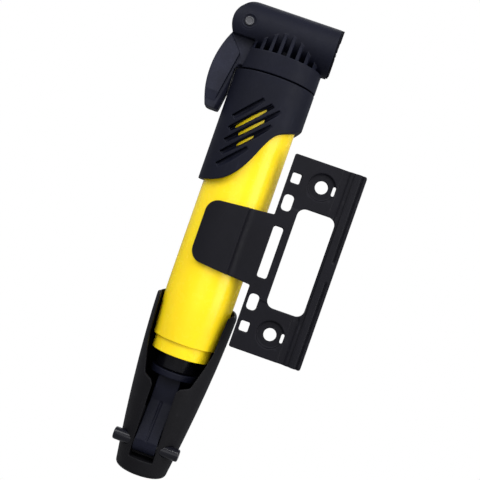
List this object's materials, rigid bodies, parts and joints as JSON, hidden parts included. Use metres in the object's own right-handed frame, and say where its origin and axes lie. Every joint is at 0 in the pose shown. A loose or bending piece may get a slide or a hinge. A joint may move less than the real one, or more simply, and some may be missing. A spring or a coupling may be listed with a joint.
{
  "type": "mini bicycle pump",
  "caption": "Hand pump with a folding handle, a lever-locked valve head and a clip bracket that bolts to bottle bosses on a bicycle frame.",
  "frame": {"origin": "middle of the two bottle-boss bolt holes, on the face of the bracket that seats on the bicycle frame", "axes": "+Z along the pump towards its head, -Y out of the bracket's front face, +X from the pump towards the bracket's far edge"},
  "size_m": [0.077, 0.0355, 0.2044],
  "materials": {
    "black_plastic": "moulded satin",
    "bracket_plastic": "moulded satin",
    "barrel_yellow": "glossy",
    "grey_plastic": "moulded satin",
    "nylon": "moulded satin",
    "rubber": "matte",
    "steel": "satin",
    "rod_alloy": "satin",
    "pin_black": "glossy"
  },
  "bodies": {
    "bracket": {"bracket": "bracket_plastic"},
    "pump": {"barrel": "barrel_yellow", "barrel_seal": "rubber", "gland_nut": "black_plastic", "rod_wiper": "rubber", "head_shroud": "black_plastic", "head_body": "black_plastic", "valve_seat": "nylon", "check_valve": "rubber", "lever_pin": "steel", "valve_grommet": "rubber"},
    "lever": {"thumb_lever": "black_plastic"},
    "plunger": {"plunger": "grey_plastic", "plunger_ring": "rubber", "depressor": "steel"},
    "cap": {"chuck_cap": "black_plastic"},
    "piston": {"piston": "grey_plastic", "piston_seal": "rubber"},
    "rod": {"piston_rod": "rod_alloy", "bumper": "rubber", "yoke": "black_plastic", "rod_pins": "steel"},
    "handle": {"handle": "black_plastic", "hinge_pin": "pin_black"}
  },
  "joints": [
    {"name": "clip_turn", "type": "hinge", "parent": "bracket", "child": "pump", "pos_m": [-0.0328, 0.0109, 0], "axis": [0, 0, 1], "continuous": true},
    {"name": "piston_stroke", "type": "slide", "parent": "pump", "child": "piston", "axis": [0, 0, -1], "range_m": [0, 0.096]},
    {"name": "handle_turn", "type": "hinge", "parent": "piston", "child": "rod", "pos_m": [-0.0328, 0.0109, -0.061], "axis": [0, 0, 1], "continuous": true},
    {"name": "handle_fold", "type": "hinge", "parent": "rod", "child": "handle", "pos_m": [-0.03337, 0.00272, -0.0927], "axis": [-0.9976, 0.0698, 0], "range_deg": [0, 90]},
    {"name": "lever_swing", "type": "hinge", "parent": "pump", "child": "lever", "pos_m": [-0.0508, 0.0109, 0.0877], "axis": [0, 1, 0], "range_deg": [0, 90]},
    {"name": "plunger_press", "type": "slide", "parent": "pump", "child": "plunger", "axis": [1, 0, 0], "range_m": [0, 0.0014]},
    {"name": "cap_off", "type": "slide", "parent": "pump", "child": "cap", "axis": [1, 0, 0], "range_m": [0, 0.008]}
  ],
  "couplings": [
    {"joint": "plunger_press", "follows": "lever_swing", "m_per_rad": 0.00089}
  ]
}
